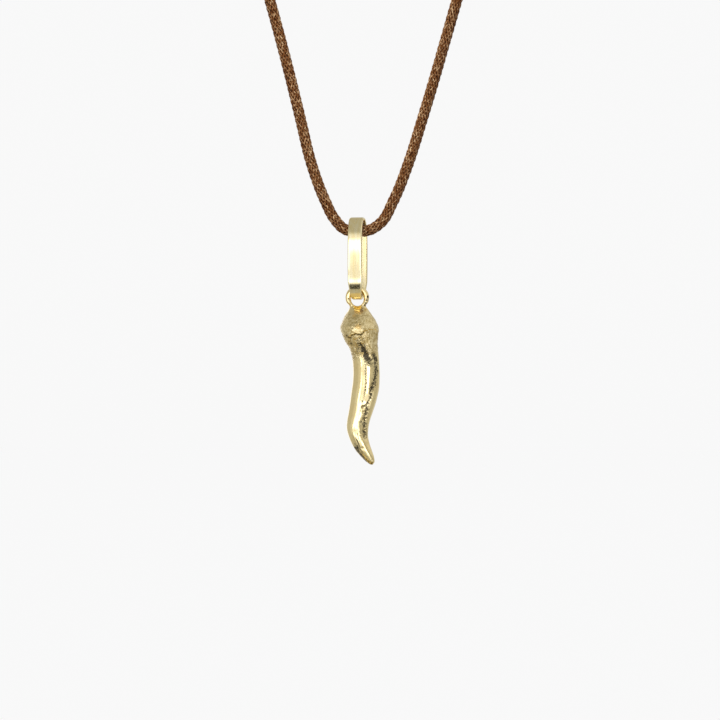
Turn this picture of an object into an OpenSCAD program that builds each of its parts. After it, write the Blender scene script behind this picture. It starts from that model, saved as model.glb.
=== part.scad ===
// A cast gold horn charm on a long flat bail, hanging from a braided cord necklace.
// X runs across the necklace, Y is depth with the front at -Y, and Z is up.
// The origin is under the clasp, where the necklace lies on the nape of the neck.

/* [Cord] */
// Diameter of the braided cord
cord_d = 2; // [1.6:0.1:2]

/* [Clasp] */
// Diameter of the clasp's barrel
clasp_d = 4.6; // [4:0.1:6]
// Diameter of the end cap that grips each cord end
cap_d = 3.4; // [2.6:0.1:3.8]
// Length of each end cap
cap_l = 7; // [5:0.5:10]

/* [Bail] */
// Height of the bail's loop
bail_h = 14.1; // [13:0.1:16]
// Width of the strip that the bail is bent from
bail_w = 2.5; // [2.2:0.05:2.6]
// Width of the strip where it passes through the ring
bail_foot_w = 1.65; // [1.4:0.05:1.7]
// Thickness of the strip
bail_t = 0.5; // [0.4:0.05:0.6]
// Clear depth between the two legs
bail_gap = 3.1; // [3.1:0.05:3.4]
// Height of the curved stretch at each end of the loop, outside
bail_bend_h = 2.9; // [2.5:0.1:3.5]
// How far the bail is turned about the vertical, in degrees
bail_turn = -13.5; // [-14:0.5:-8]

/* [Ring] */
// Outer diameter of the ring on the horn's head
ring_d = 4.06; // [3.9:0.02:4.3]
// Width of the hole through the ring
ring_hole_w = 2.2; // [2.18:0.02:2.4]
// Height of the hole through the ring
ring_hole_h = 2.56; // [2.4:0.02:2.6]
// Thickness of the ring from front to back
ring_deep = 0.84; // [0.7:0.02:0.84]

/* [Hidden] */
gap = 0.05;

// Where the cord passes through the bail, below the origin
pendant_x = -1.5;
pendant_drop = 161;
clasp_l = 30;
clasp_z = clasp_d / 2;

// The cord's route as points of X and Z, from the clasp's left cap round to its right cap
route = [
    [-15, 2.3], [-28.5, -1.4], [-38.4, -11.4], [-42.1, -25], [-40, -36], [-37.8, -44],
    [-30.1, -72], [-22.4, -100], [-16.6, -121], [-14.7, -128], [-12.9, -135],
    [-11.2, -142], [-9.5, -149], [-7.1, -155.6], [-5.4, -158.9], [-3.6, -160.7],
    [-1.5, -161], [0.6, -160.8], [2.6, -159.5], [4.6, -156], [7.4, -149],
    [9.6, -142], [11.7, -135], [13.7, -128], [15.7, -121], [21.7, -100], [29.8, -72],
    [37.8, -44], [40.1, -36], [42.2, -25], [38.6, -11.4], [28.6, -1.4], [15, 2.3]
];
cord_sides = 8;
cord_ring_step = 6;

// The bail's profile, seen from its side, measured from the cord's centre
bail_top = 2.4;
bail_foot = bail_top - bail_h;
bend_steps = 10;
foot_taper_h = 3;
foot_knee = 0.42;
strip_corner = 0.2;

// The ring's centre, measured from the cord's centre
ring_drop = 11.4;
ring_hole_sink = 0.16;
ring_steps = 28;
ring_sides = 10;

// The horn's level sections, a row each, measured from the ring's centre
DROP = 0;
SIDE = 1;
BACK = 2;
WIDE = 3;
DEEP = 4;
horn_rows = [
    [1.50, 0.15, 0.00, 2.40, 0.50],
    [1.70, 0.18, 0.00, 2.94, 1.30],
    [2.10, 0.22, 0.00, 3.40, 2.30],
    [3.00, 0.22, 0.00, 4.62, 3.90],
    [4.10, 0.33, 0.00, 5.84, 5.36],
    [5.30, 0.37, 0.00, 6.62, 6.20],
    [6.50, 0.53, 0.02, 6.26, 6.00],
    [7.80, 0.79, 0.06, 5.54, 5.40],
    [8.90, 1.15, 0.10, 4.90, 4.90],
    [10.0, 1.36, 0.15, 4.64, 4.62],
    [11.2, 1.48, 0.19, 4.57, 4.50],
    [13.2, 1.56, 0.22, 4.59, 4.40],
    [14.6, 1.50, 0.22, 4.64, 4.33],
    [15.9, 1.36, 0.20, 4.70, 4.19],
    [17.2, 1.14, 0.16, 4.58, 4.00],
    [18.5, 0.88, 0.10, 4.40, 3.80],
    [19.8, 0.55, 0.03, 4.16, 3.62],
    [21.1, 0.21, -0.05, 3.96, 3.43],
    [22.5, 0.04, -0.14, 3.74, 3.21],
    [23.8, 0.17, -0.24, 3.36, 2.95],
    [25.1, 0.56, -0.33, 3.10, 2.58],
    [26.4, 1.16, -0.40, 2.76, 2.16],
    [27.6, 1.88, -0.42, 2.06, 1.60],
    [28.3, 2.28, -0.42, 1.34, 1.14],
    [28.65, 2.42, -0.42, 0.60, 0.52]
];
horn_splits = 3;
horn_sides = 36;

// Dents in the horn: place by drop and by turn from +X, reach each way, and depth
TURN = 1;
REACH = 2;
SPREAD = 3;
DENT = 4;
horn_dents = [
    [11.5, -42, 1.8, 14, 0.16],
    [14.5, -58, 1.8, 12, 0.18],
    [17.9, -75, 0.7, 24, 0.20],
    [20.6, -66, 1.5, 12, 0.20],
    [23.2, -55, 1.4, 12, 0.16],
    [26.0, -150, 1.6, 28, 0.16]
];

function lerp(a, b, t) = a + (b - a) * t;

// A smooth curve through uneven points: the chord before and after each point sets its slope
function chord(pts, i) = norm(pts[i + 1] - pts[i]);
function slope(pts, i, first, last) =
    i == 0 ? first :
    i == len(pts) - 1 ? last :
    let (before = chord(pts, i - 1), after = chord(pts, i))
    ((pts[i + 1] - pts[i]) * before / after + (pts[i] - pts[i - 1]) * after / before)
        / (before + after);
function hermite(a, b, slope_a, slope_b, reach, t) =
    a * (2 * t * t * t - 3 * t * t + 1)
    + slope_a * reach * (t * t * t - 2 * t * t + t)
    + b * (3 * t * t - 2 * t * t * t)
    + slope_b * reach * (t * t * t - t * t);
function smooth(pts, first, last, splits) = [
    for (i = [0 : len(pts) - 2])
        let (m0 = slope(pts, i, first, last), m1 = slope(pts, i + 1, first, last))
        for (k = [0 : splits[i] - 1])
            hermite(pts[i], pts[i + 1], m0, m1, chord(pts, i), k / splits[i]),
    pts[len(pts) - 1]
];

// The faces of a tube or loft of rings, with a flat cap at each end
function side_faces(rings, sides) = [
    for (i = [0 : rings - 2])
        for (j = [0 : sides - 1])
            let (a = i * sides + j, b = i * sides + (j + 1) % sides)
            each [[a, b, b + sides], [a, b + sides, a + sides]]
];
function cap_faces(rings, sides) = [
    [for (j = [sides - 1 : -1 : 0]) j],
    [for (j = [0 : sides - 1]) (rings - 1) * sides + j]
];

// The cord's rings stand square to its run, which stays in the plane of X and Z
function cord_splits() = [
    for (i = [0 : len(route) - 2]) ceil(chord(route, i) / cord_ring_step)
];
function run_at(pts, i) =
    i == 0 || i == len(pts) - 1 ? [-1, 0] :
    (pts[i + 1] - pts[i - 1]) / norm(pts[i + 1] - pts[i - 1]);

module neck_cord() {
    line = smooth(route, [-1, 0], [-1, 0], cord_splits());
    points = [
        for (i = [0 : len(line) - 1])
            let (run = run_at(line, i))
            for (j = [0 : cord_sides - 1])
                let (
                    turn = 360 * (j + 0.5) / cord_sides,
                    out = cord_d / 2 * cos(turn),
                    side = cord_d / 2 * sin(turn)
                )
                [line[i][0] - run[1] * out, side, line[i][1] + run[0] * out]
    ];
    faces = concat(side_faces(len(line), cord_sides), cap_faces(len(line), cord_sides));
    color("saddlebrown")
        polyhedron(points = points, faces = faces, convexity = 6);
}

// One turned barrel with a cap at each end, lying across the nape
module clasp() {
    half = clasp_l / 2;
    barrel = half - cap_l;
    edge = 0.4;
    profile = [
        [0, -half], [cap_d / 2 - edge, -half], [cap_d / 2, -half + edge],
        [cap_d / 2, -barrel], [clasp_d / 2 - edge, -barrel], [clasp_d / 2, -barrel + edge],
        [clasp_d / 2, barrel - edge], [clasp_d / 2 - edge, barrel], [cap_d / 2, barrel],
        [cap_d / 2, half - edge], [cap_d / 2 - edge, half], [0, half]
    ];
    color("gold")
        translate([0, 0, clasp_z])
            rotate([0, 90, 0])
                rotate_extrude($fn = 48)
                    polygon(profile);
}

// A long oval with half-ellipse ends, standing in the plane of depth and height
function oval(half_gap, end_h) = [
    for (k = [0 : 2 * bend_steps])
        let (turn = 90 * k / bend_steps)
        [half_gap * cos(turn), bail_top - bail_bend_h + end_h * sin(turn)],
    for (k = [0 : 2 * bend_steps])
        let (turn = 180 + 90 * k / bend_steps)
        [half_gap * cos(turn), bail_foot + bail_bend_h + end_h * sin(turn)]
];

// The strip's outline from the front: straight edges that draw in towards the ring
function strip_outline() = let (
    half = bail_w / 2,
    foot = bail_foot_w / 2,
    waist = bail_foot + foot_taper_h,
    knee = bail_foot + foot_taper_h / 3
) [
    [-half + strip_corner, bail_top + gap], [-half, bail_top - strip_corner],
    [-half, waist], [-lerp(foot, half, foot_knee), knee], [-foot, bail_foot - gap],
    [foot, bail_foot - gap], [lerp(foot, half, foot_knee), knee], [half, waist],
    [half, bail_top - strip_corner], [half - strip_corner, bail_top + gap]
];

module bail() {
    outer = bail_gap / 2 + bail_t;
    color("khaki")
        translate([pendant_x, 0, -pendant_drop])
            rotate([0, 0, bail_turn])
                intersection() {
                    rotate([90, 0, 90])
                        linear_extrude(height = bail_w, center = true)
                            difference() {
                                polygon(oval(outer, bail_bend_h));
                                polygon(oval(bail_gap / 2, bail_bend_h - bail_t));
                            }
                    rotate([90, 0, 0])
                        linear_extrude(height = 3 * outer, center = true)
                            polygon(strip_outline());
                }
}

// The ring's wire is thickest at its sides, because its hole is taller than it is wide
function ring_points() = [
    for (i = [0 : ring_steps - 1])
        let (
            turn = 360 * i / ring_steps,
            outer = ring_d / 2 * [cos(turn), sin(turn)],
            inner = [ring_hole_w / 2 * cos(turn), ring_hole_h / 2 * sin(turn) - ring_hole_sink],
            middle = (outer + inner) / 2,
            reach = (outer - inner) / 2
        )
        for (j = [0 : ring_sides - 1])
            let (lean = 360 * j / ring_sides)
            [
                middle[0] + reach[0] * cos(lean),
                ring_deep / 2 * sin(lean),
                middle[1] + reach[1] * cos(lean)
            ]
];
function ring_faces() = [
    for (i = [0 : ring_steps - 1])
        for (j = [0 : ring_sides - 1])
            let (
                a = i * ring_sides + j,
                b = i * ring_sides + (j + 1) % ring_sides,
                c = (i + 1) % ring_steps * ring_sides + (j + 1) % ring_sides,
                d = (i + 1) % ring_steps * ring_sides + j
            )
            each [[a, c, b], [a, d, c]]
];

// How deep the dents reach at one place on the horn's skin
function turn_between(a, b) = abs((a - b + 540) % 360 - 180);
function dent_at(drop, turn, k = 0) = k == len(horn_dents) ? 0 :
    let (
        row = horn_dents[k],
        down = (drop - row[DROP]) / row[REACH],
        round = turn_between(turn + 360, row[TURN]) / row[SPREAD]
    )
    row[DENT] * exp(-down * down - round * round) + dent_at(drop, turn, k + 1);

module horn() {
    splits = [for (i = [0 : len(horn_rows) - 2]) horn_splits];
    first = slope(horn_rows, 1, 0, 0);
    last = slope(horn_rows, len(horn_rows) - 2, 0, 0);
    rows = smooth(horn_rows, first, last, splits);
    points = [
        for (row = rows)
            for (j = [0 : horn_sides - 1])
                let (
                    turn = 360 * j / horn_sides,
                    dent = dent_at(row[DROP], turn)
                )
                [
                    row[SIDE] + (row[WIDE] / 2 - dent) * cos(turn),
                    row[BACK] + (row[DEEP] / 2 - dent) * sin(turn),
                    -row[DROP]
                ]
    ];
    body_faces = side_faces(len(rows), horn_sides);
    end_faces = cap_faces(len(rows), horn_sides);
    color("gold")
        translate([pendant_x, 0, -pendant_drop - ring_drop]) {
            polyhedron(points = points, faces = concat(body_faces, end_faces), convexity = 4);
            polyhedron(points = ring_points(), faces = ring_faces(), convexity = 4);
        }
}

neck_cord();
clasp();
bail();
horn();
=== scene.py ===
"""A cast gold horn charm on its braided cord necklace, dressed in the order it is put together."""

import math

import bpy
import numpy as np
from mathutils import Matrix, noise


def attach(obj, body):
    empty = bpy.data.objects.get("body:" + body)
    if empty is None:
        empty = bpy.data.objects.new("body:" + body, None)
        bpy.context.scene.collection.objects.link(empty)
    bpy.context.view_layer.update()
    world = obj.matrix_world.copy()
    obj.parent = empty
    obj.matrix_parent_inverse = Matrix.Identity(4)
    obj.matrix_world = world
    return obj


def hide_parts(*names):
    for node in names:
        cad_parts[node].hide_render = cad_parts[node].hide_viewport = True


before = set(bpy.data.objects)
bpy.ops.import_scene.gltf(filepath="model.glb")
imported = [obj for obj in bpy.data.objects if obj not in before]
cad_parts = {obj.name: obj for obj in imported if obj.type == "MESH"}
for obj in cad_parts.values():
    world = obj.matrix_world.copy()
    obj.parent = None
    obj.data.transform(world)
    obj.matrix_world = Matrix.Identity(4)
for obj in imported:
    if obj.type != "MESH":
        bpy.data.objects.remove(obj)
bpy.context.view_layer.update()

# The view
# A long lens looks straight at the charm. The picture is 124 mm across where the necklace
# hangs, and its middle is on the upper part of the horn.
PICTURE_WIDE = 0.12384
PICTURE_MIDDLE = (-0.001036, -0.18314)
LENS_AWAY = 0.75

lens = bpy.data.cameras.new("long_lens")
lens.sensor_width = 36
lens.lens = lens.sensor_width * LENS_AWAY / PICTURE_WIDE
camera = bpy.data.objects.new("camera", lens)
bpy.context.scene.collection.objects.link(camera)
camera.location = (PICTURE_MIDDLE[0], -LENS_AWAY, PICTURE_MIDDLE[1])
camera.rotation_euler = (math.radians(90), 0, 0)
bpy.context.scene.camera = camera
bpy.context.scene.view_settings.view_transform = "Standard"

# The neck cord
# A round braid of waxed brown cotton, 2 mm thick: twenty flat strands, ten laid each way,
# pass over and under each other round a plain core, and short fibres stand out of it.
COTTON_SHADES = [
    (0.60, (0.02, 0.0055, 0.001)), (0.69, (0.125, 0.037, 0.006)),
    (0.80, (0.21, 0.082, 0.021)), (0.90, (0.62, 0.43, 0.24)),
]
CORD_WIDE = 0.002
CORD_ROUTE = [
    (-0.015, 0.0023), (-0.0285, -0.0014), (-0.0384, -0.0114), (-0.0421, -0.025),
    (-0.04, -0.036), (-0.0378, -0.044), (-0.0301, -0.072), (-0.0224, -0.1),
    (-0.0166, -0.121), (-0.0147, -0.128), (-0.0129, -0.135), (-0.0112, -0.142),
    (-0.0095, -0.149), (-0.0071, -0.1556), (-0.0054, -0.1589), (-0.0036, -0.1607),
    (-0.0015, -0.161), (0.0006, -0.1608), (0.0026, -0.1595), (0.0046, -0.156),
    (0.0074, -0.149), (0.0096, -0.142), (0.0117, -0.135), (0.0137, -0.128),
    (0.0157, -0.121), (0.0217, -0.1), (0.0298, -0.072), (0.0378, -0.044),
    (0.0401, -0.036), (0.0422, -0.025), (0.0386, -0.0114), (0.0286, -0.0014),
    (0.015, 0.0023),
]
ROUTE_STEP = 0.0008
BRAID_LEAD = 0.011
BRAID_STEP = 0.0004
BRAID_WAYS = 10
BRAID_COLUMNS = 7
STRAND_WIDE = 0.00047
STRAND_THICK = 0.0003
STRAND_RIDE = 0.00006
STRAND_WANDER = 0.00006
CORE_SHARE = 0.68
CORE_STEP = 0.002
FIBRE_STEP = 0.0009
# A loose fibre: the share of the cord's radius where it roots, its radius, how far it leans
# along the cord, its curl, and how long it is as a share of that curl
FIBRE_ROOT = 0.93
FIBRE_RADIUS = 0.000012
FIBRE_LEAN = 1.6
FIBRE_CURL = ((0, 0, -0.0001), (0.00004, 0, 0.0001), (0.00012, 0.00003, 0.00022))
FIBRE_LENGTHS = (0.4, 1.0)


def smooth_line(points, first, last, splits):
    """A smooth curve through uneven points, where the chord on each side sets the slope."""
    points = [np.array(point, float) for point in points]
    chords = [np.linalg.norm(after - before) for before, after in zip(points, points[1:])]
    slopes = [None] * len(points)
    for i in range(1, len(points) - 1):
        ahead = (points[i + 1] - points[i]) * chords[i - 1] / chords[i]
        behind = (points[i] - points[i - 1]) * chords[i] / chords[i - 1]
        slopes[i] = (ahead + behind) / (chords[i - 1] + chords[i])
    slopes[0] = slopes[1] if first is None else np.array(first, float)
    slopes[-1] = slopes[-2] if last is None else np.array(last, float)
    line = []
    for i, pieces in enumerate(splits):
        for step in range(pieces):
            t = step / pieces
            line.append(
                points[i] * (2 * t**3 - 3 * t**2 + 1)
                + slopes[i] * chords[i] * (t**3 - 2 * t**2 + t)
                + points[i + 1] * (3 * t**2 - 2 * t**3)
                + slopes[i + 1] * chords[i] * (t**3 - t**2)
            )
    line.append(points[-1])
    return np.array(line)


def link(thing):
    bpy.context.scene.collection.objects.link(thing)
    return thing


class Wire:
    """A socket of a node tree. Sums on it add Math nodes, and [] is another of its node's outputs."""

    def __init__(self, graph, socket):
        self.graph = graph
        self.socket = socket

    def __getitem__(self, output):
        return Wire(self.graph, self.socket.node.outputs[output])

    def maths(self, operation, *values):
        return self.graph.add("ShaderNodeMath", {"operation": operation}, dict(enumerate(values)))

    def __add__(self, other):
        return self.maths("ADD", self, other)

    def __sub__(self, other):
        return self.maths("SUBTRACT", self, other)

    def __rsub__(self, other):
        return self.maths("SUBTRACT", other, self)

    def __mul__(self, other):
        return self.maths("MULTIPLY", self, other)

    def __truediv__(self, other):
        return self.maths("DIVIDE", self, other)

    def __gt__(self, other):
        return self.maths("GREATER_THAN", self, other)

    __radd__ = __add__
    __rmul__ = __mul__

    def cos(self):
        return self.maths("COSINE", self)

    def sin(self):
        return self.maths("SINE", self)


class Graph:
    """A node tree that is written as expressions."""

    def __init__(self, tree):
        self.tree = tree

    def add(self, kind, settings=None, inputs=None, output=0):
        node = self.tree.nodes.new(kind)
        for name, value in (settings or {}).items():
            if name == "stops":
                stops = node.color_ramp.elements
                for where, colour in value:
                    stop = stops.new(where)
                    stop.color = (*colour, 1)
                stops.remove(stops[0])
                stops.remove(stops[-1])
            else:
                setattr(node, name, value)
        for name, value in (inputs or {}).items():
            if isinstance(value, Wire):
                self.tree.links.new(value.socket, node.inputs[name])
            else:
                node.inputs[name].default_value = value
        return Wire(self, node.outputs[output])

    def vector(self, operation, *values):
        return self.add("ShaderNodeVectorMath", {"operation": operation}, dict(enumerate(values)))

    def scaled(self, vector, factor):
        return self.add("ShaderNodeVectorMath", {"operation": "SCALE"}, {0: vector, "Scale": factor})


class Finish(Graph):
    """A material's tree round one Principled shader."""

    def __init__(self, name):
        self.material = bpy.data.materials.new(name)
        self.material.use_nodes = True
        super().__init__(self.material.node_tree)
        self.shader = self.tree.nodes["Principled BSDF"]

    def place(self):
        return self.add("ShaderNodeTexCoord", output="Object")

    def marked(self, name):
        return self.add("ShaderNodeAttribute", {"attribute_name": name}, output="Fac")

    def stretched(self, vector, scale):
        return self.add("ShaderNodeMapping", inputs={"Vector": vector, "Scale": scale})

    def cloud(self, vector, scale, detail=2.0, roughness=0.5):
        inputs = {"Vector": vector, "Scale": scale, "Detail": detail, "Roughness": roughness}
        return self.add("ShaderNodeTexNoise", inputs=inputs)

    def ramp(self, value, stops):
        return self.add("ShaderNodeValToRGB", {"stops": stops}, {"Fac": value})

    def mixed(self, factor, first, second):
        settings = {"data_type": "RGBA", "clamp_factor": True}
        ends = {
            number: (*value, 1) if isinstance(value, tuple) else value
            for number, value in ((6, first), (7, second))
        }
        return self.add("ShaderNodeMix", settings, {0: factor, **ends}, output=2)

    def between(self, value, low, high, start=0.0, end=1.0):
        inputs = {"Value": value, "From Min": low, "From Max": high, "To Min": start, "To Max": end}
        return self.add("ShaderNodeMapRange", inputs=inputs)

    def bump(self, height, strength, distance, under=None):
        inputs = {"Height": height, "Strength": strength, "Distance": distance}
        if under is not None:
            inputs["Normal"] = under
        return self.add("ShaderNodeBump", inputs=inputs)

    def wear(self, **sockets):
        """Sets the shader's sockets, named with _ for a space."""
        for name, value in sockets.items():
            socket = self.shader.inputs[name.replace("_", " ")]
            if isinstance(value, Wire):
                self.tree.links.new(value.socket, socket)
            else:
                socket.default_value = (*value, 1) if isinstance(value, tuple) else value
        return self.material


def waxed_cotton():
    finish = Finish("waxed_cotton")
    along = finish.marked("along")
    round_it = finish.marked("round_it")
    strand = finish.marked("strand")
    yarns = finish.add(
        "ShaderNodeCombineXYZ", inputs={"X": along * 1900, "Y": round_it * 9, "Z": strand * 7.3}
    )
    streak = finish.cloud(yarns, 1.0, 3.0, 0.65)
    patch = finish.cloud(finish.place(), 1200, 2.0)
    # Each strand is painted lighter on its crest and darker on its edges and underside: painted shade
    # in the crevices between the strands
    painted_crest_shade = (round_it * math.tau).cos() * 0.5 + 0.5
    tone = streak * 1.25 + patch * 0.45 + painted_crest_shade * 0.28
    lines = (along * 5200 + round_it * 38).sin() * 0.5 + streak * 1.6
    return finish.wear(
        Base_Color=finish.ramp(tone * 0.7, COTTON_SHADES),
        Roughness=0.62,
        Normal=finish.bump(lines, 0.7, 0.00005),
        Specular_IOR_Level=0.15,
    )


def braid_tree(strand_finish):
    """Geometry Nodes that lay the strands, the core and the loose fibres along a curve."""
    tree = bpy.data.node_groups.new("round_braid", "GeometryNodeTree")
    sides = [
        ("Route", "INPUT", "NodeSocketGeometry", None),
        ("Cord Radius", "INPUT", "NodeSocketFloat", CORD_WIDE / 2),
        ("Lead", "INPUT", "NodeSocketFloat", BRAID_LEAD),
        ("Strand Wide", "INPUT", "NodeSocketFloat", STRAND_WIDE),
        ("Strand Thick", "INPUT", "NodeSocketFloat", STRAND_THICK),
        ("Ride", "INPUT", "NodeSocketFloat", STRAND_RIDE),
        ("Step", "INPUT", "NodeSocketFloat", BRAID_STEP),
        ("Fibre Step", "INPUT", "NodeSocketFloat", FIBRE_STEP),
        ("Braid", "OUTPUT", "NodeSocketGeometry", None),
    ]
    for name, way, kind, _ in sides:
        tree.interface.new_socket(name=name, in_out=way, socket_type=kind)
    graph = Graph(tree)
    given = graph.add("NodeGroupInput")
    radius = given["Cord Radius"]
    thick = given["Strand Thick"]
    ride = given["Ride"]

    laid = graph.add(
        "GeometryNodeResampleCurve", {"mode": "LENGTH"},
        {"Curve": given["Route"], "Length": given["Step"]},
    )
    strands = graph.add(
        "GeometryNodeDuplicateElements", {"domain": "SPLINE"},
        {"Geometry": laid, "Amount": 2 * BRAID_WAYS},
    )
    number = strands["Duplicate Index"]
    far = graph.add("GeometryNodeSplineParameter")["Length"]
    backward = number > BRAID_WAYS - 0.5
    way = 1 - backward * 2
    spoke = number - backward * BRAID_WAYS
    turn = way * far * math.tau / given["Lead"] + spoke * (math.tau / BRAID_WAYS)
    over = (turn * BRAID_COLUMNS - math.pi / 4).cos() * way
    wander = graph.add(
        "ShaderNodeTexNoise", {"noise_dimensions": "4D"},
        {"Scale": 900.0, "W": number * 3.1, "Detail": 1.0},
    )
    lift = radius - thick * 0.5 - ride + over * ride + (wander - 0.5) * STRAND_WANDER
    tangent = graph.add("GeometryNodeInputTangent")
    across = graph.vector("CROSS_PRODUCT", tangent, (0, -1, 0))
    facing = graph.vector(
        "ADD", graph.scaled((0, -1, 0), turn.cos()), graph.scaled(across, turn.sin())
    )

    def marked(geometry, name, value, kind="FLOAT"):
        return graph.add(
            "GeometryNodeStoreNamedAttribute", {"data_type": kind, "domain": "POINT"},
            {"Geometry": geometry, "Name": name, "Value": value},
        )

    strands = marked(strands, "facing", facing, "FLOAT_VECTOR")
    strands = marked(strands, "along", far)
    strands = marked(strands, "strand", number)
    facing = graph.add(
        "GeometryNodeInputNamedAttribute", {"data_type": "FLOAT_VECTOR"}, {"Name": "facing"}
    )
    strands = graph.add(
        "GeometryNodeSetPosition", inputs={"Geometry": strands, "Offset": graph.scaled(facing, lift)}
    )
    strands = graph.add(
        "GeometryNodeSetCurveNormal", {"mode": "FREE"}, {"Curve": strands, "Normal": facing}
    )
    ring = graph.add("GeometryNodeCurvePrimitiveCircle", inputs={"Resolution": 4, "Radius": 0.5})
    ring = marked(ring, "round_it", graph.add("GeometryNodeSplineParameter"))
    flat = graph.add("ShaderNodeCombineXYZ", inputs={"X": thick, "Y": given["Strand Wide"], "Z": 1.0})
    ring = graph.add("GeometryNodeTransform", inputs={"Geometry": ring, "Scale": flat})
    woven = graph.add(
        "GeometryNodeCurveToMesh", inputs={"Curve": strands, "Profile Curve": ring, "Fill Caps": True}
    )

    spine = graph.add(
        "GeometryNodeResampleCurve", {"mode": "LENGTH"},
        {"Curve": given["Route"], "Length": CORE_STEP},
    )
    round_core = graph.add(
        "GeometryNodeCurvePrimitiveCircle", inputs={"Resolution": 10, "Radius": radius * CORE_SHARE}
    )
    core = graph.add(
        "GeometryNodeCurveToMesh",
        inputs={"Curve": spine, "Profile Curve": round_core, "Fill Caps": True},
    )

    roots = graph.add(
        "GeometryNodeResampleCurve", {"mode": "LENGTH"},
        {"Curve": given["Route"], "Length": given["Fibre Step"]},
    )

    def chance(low, high, seed):
        return graph.add(
            "FunctionNodeRandomValue", {"data_type": "FLOAT"}, {2: low, 3: high, "Seed": seed}, output=1
        )

    around = chance(0.0, math.tau, 11)
    out = graph.vector(
        "ADD", graph.scaled((0, -1, 0), around.cos()), graph.scaled(across, around.sin())
    )
    lean = graph.vector("ADD", out, graph.scaled(tangent, chance(-FIBRE_LEAN, FIBRE_LEAN, 12)))
    roots = marked(roots, "lean", lean, "FLOAT_VECTOR")
    roots = graph.add(
        "GeometryNodeSetPosition",
        inputs={"Geometry": roots, "Offset": graph.scaled(out, radius * FIBRE_ROOT)},
    )
    start, middle, tip = FIBRE_CURL
    hair = graph.add(
        "GeometryNodeCurveQuadraticBezier",
        inputs={"Resolution": 3, "Start": start, "Middle": middle, "End": tip},
    )
    thin = graph.add(
        "GeometryNodeCurvePrimitiveCircle", inputs={"Resolution": 3, "Radius": FIBRE_RADIUS}
    )
    hair = graph.add(
        "GeometryNodeCurveToMesh", inputs={"Curve": hair, "Profile Curve": thin, "Fill Caps": True}
    )
    lean = graph.add(
        "GeometryNodeInputNamedAttribute", {"data_type": "FLOAT_VECTOR"}, {"Name": "lean"}
    )
    stand = graph.add("FunctionNodeAlignRotationToVector", {"axis": "Z"}, {"Vector": lean})
    fibres = graph.add(
        "GeometryNodeInstanceOnPoints",
        inputs={
            "Points": roots, "Instance": hair, "Rotation": stand,
            "Scale": chance(*FIBRE_LENGTHS, 13),
        },
    )
    joined = graph.add("GeometryNodeJoinGeometry", inputs={0: woven})
    for part in (core, fibres):
        tree.links.new(part.socket, joined.socket.node.inputs[0])
    real = graph.add("GeometryNodeRealizeInstances", inputs={"Geometry": joined})
    soft = graph.add("GeometryNodeSetShadeSmooth", inputs={0: real})
    dressed = graph.add(
        "GeometryNodeSetMaterial", inputs={"Geometry": soft, "Material": strand_finish}
    )
    end = tree.nodes.new("NodeGroupOutput")
    tree.links.new(dressed.socket, end.inputs["Braid"])
    return tree, {name: value for name, way, kind, value in sides if value is not None}


def grown(thing, tree, values, name):
    """The plain mesh that a Geometry Nodes tree makes of an object."""
    modifier = thing.modifiers.new("growth", "NODES")
    modifier.node_group = tree
    for item in tree.interface.items_tree:
        if item.in_out == "INPUT" and item.name in values:
            modifier[item.identifier] = values[item.name]
    evaluated = thing.evaluated_get(bpy.context.evaluated_depsgraph_get())
    mesh = bpy.data.meshes.new_from_object(evaluated)
    mesh.name = name
    bpy.data.objects.remove(thing)
    return link(bpy.data.objects.new(name, mesh))


route_pieces = [
    math.ceil(math.dist(before, after) / ROUTE_STEP)
    for before, after in zip(CORD_ROUTE, CORD_ROUTE[1:])
]
flat_line = smooth_line(CORD_ROUTE, (-1, 0), (-1, 0), route_pieces)
cord_path = [(float(x), 0.0, float(z)) for x, z in flat_line]
route_curve = bpy.data.curves.new("route", "CURVE")
route_curve.dimensions = "3D"
spline = route_curve.splines.new("POLY")
spline.points.add(len(cord_path) - 1)
for point, place in zip(spline.points, cord_path):
    point.co = (*place, 1)
braid, braid_values = braid_tree(waxed_cotton())
route = link(bpy.data.objects.new("route", route_curve))
neck_cord = grown(route, braid, braid_values, "neck_cord_braid")
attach(neck_cord, "necklace")
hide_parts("neck_cord")

# The clasp
# A plain gilt brass barrel with a cap on each end, turned on a lathe. The cord ends are
# glued into the caps, and the two halves of the barrel screw together in the middle.
CLASP_GOLD = ((0.93, 0.75, 0.36), (0.82, 0.62, 0.26))
CLASP_MIDDLE = 0.0023
# One half, from the middle groove over the barrel, its shoulder and the cap to the cord
CLASP_HALF = [
    (0.00004, 0.00214), (0.00008, 0.00226), (0.00016, 0.0023), (0.003, 0.0023),
    (0.00592, 0.0023), (0.006, 0.00222), (0.00612, 0.00222), (0.0062, 0.0023),
    (0.007, 0.0023), (0.00756, 0.00229), (0.0078, 0.00222), (0.00796, 0.00206),
    (0.00802, 0.0019), (0.00812, 0.00172), (0.0084, 0.0017), (0.0110, 0.0017),
    (0.01394, 0.0016), (0.01402, 0.00152), (0.01412, 0.00152), (0.0142, 0.0016),
    (0.0144, 0.0016), (0.01462, 0.00158), (0.0148, 0.00146), (0.01496, 0.00128),
    (0.015, 0.00112),
]
CLASP_STEPS = 96


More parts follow.
